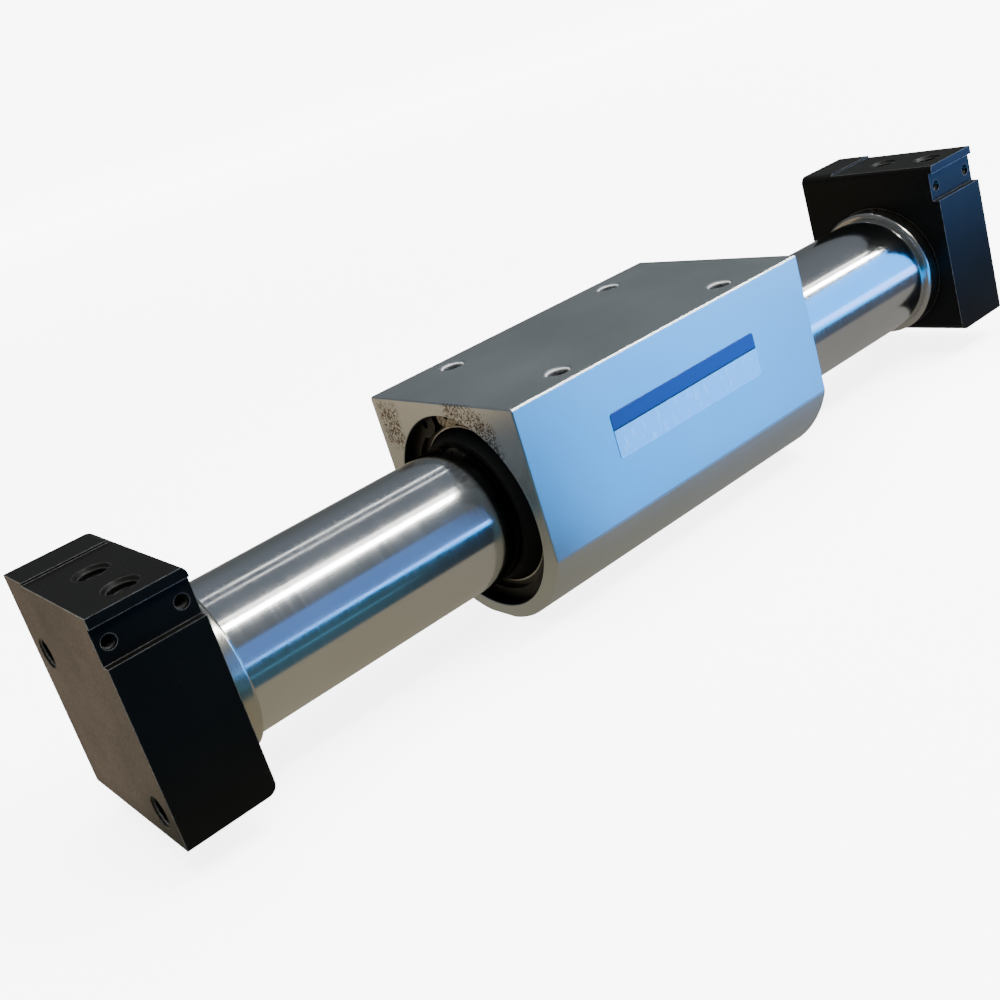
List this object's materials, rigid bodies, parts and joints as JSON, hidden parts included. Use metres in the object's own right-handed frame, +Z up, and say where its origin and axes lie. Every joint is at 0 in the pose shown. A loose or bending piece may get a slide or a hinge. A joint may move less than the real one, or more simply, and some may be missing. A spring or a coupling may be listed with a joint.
{
  "type": "rodless pneumatic cylinder",
  "caption": "Magnetically coupled rodless air cylinder: a slider with a flat tapped top runs along a polished tube between ported end blocks.",
  "frame": {"origin": "under the middle of the cylinder between its end blocks, level with the foot of the slider; the tube's axis is 22.2 mm above it", "axes": "+X along the tube, +Z up towards the slider's flat top and the ports, -Y towards the side with the recessed bands"},
  "size_m": [0.228, 0.045, 0.0466],
  "materials": {
    "block_black": "black anodised, satin",
    "tube_steel": "ground and polished stainless steel",
    "slider_silver": "clear anodised, satin",
    "plain_aluminium": "as turned",
    "ring_steel": "oiled spring steel",
    "yoke_steel": "ground steel",
    "magnet_nickel": "nickel plated",
    "seal_rubber": "matte nitrile rubber",
    "wear_plastic": "filled bearing plastic"
  },
  "bodies": {
    "cylinder": {"cylinder_tube": "tube_steel", "end_block_left": "block_black", "end_block_right": "block_black", "tube_collar_left": "tube_steel", "tube_collar_right": "tube_steel", "tube_seal_left": "seal_rubber", "tube_seal_right": "seal_rubber", "bumper_left": "seal_rubber", "bumper_right": "seal_rubber"},
    "slider_bearing": {"wear_ring_left": "wear_plastic", "wear_ring_right": "wear_plastic", "scraper_left": "seal_rubber", "scraper_right": "seal_rubber"},
    "slider": {"slider_body": "slider_silver", "retaining_ring_left": "ring_steel", "retaining_ring_right": "ring_steel", "end_plate_left": "plain_aluminium", "end_plate_right": "plain_aluminium", "bearing_holder_left": "plain_aluminium", "bearing_holder_right": "plain_aluminium", "outer_magnet_1": "magnet_nickel", "outer_magnet_2": "magnet_nickel", "outer_magnet_3": "magnet_nickel", "outer_magnet_4": "magnet_nickel", "outer_yoke_1": "yoke_steel", "outer_yoke_2": "yoke_steel", "outer_yoke_3": "yoke_steel", "outer_yoke_4": "yoke_steel", "outer_yoke_5": "yoke_steel"},
    "piston": {"piston_shaft": "ring_steel", "inner_magnet_1": "magnet_nickel", "inner_magnet_2": "magnet_nickel", "inner_magnet_3": "magnet_nickel", "inner_magnet_4": "magnet_nickel", "inner_yoke_1": "yoke_steel", "inner_yoke_2": "yoke_steel", "inner_yoke_3": "yoke_steel", "inner_yoke_4": "yoke_steel", "inner_yoke_5": "yoke_steel", "piston_left": "plain_aluminium", "piston_right": "plain_aluminium", "piston_guide_left": "wear_plastic", "piston_guide_right": "wear_plastic", "piston_packing_left": "seal_rubber", "piston_packing_right": "seal_rubber", "piston_nut_left": "ring_steel", "piston_nut_right": "ring_steel"}
  },
  "joints": [
    {"name": "slider_travel", "type": "slide", "parent": "cylinder", "child": "slider_bearing", "axis": [1, 0, 0], "range_m": [-0.0525, 0.0475]},
    {"name": "slider_turn", "type": "hinge", "parent": "slider_bearing", "child": "slider", "pos_m": [0.0025, 0, 0.0222], "axis": [1, 0, 0], "continuous": true},
    {"name": "piston_travel", "type": "slide", "parent": "cylinder", "child": "piston", "axis": [1, 0, 0], "range_m": [-0.0525, 0.0475]}
  ],
  "couplings": [
    {"joint": "piston_travel", "follows": "slider_travel", "ratio": 1}
  ]
}
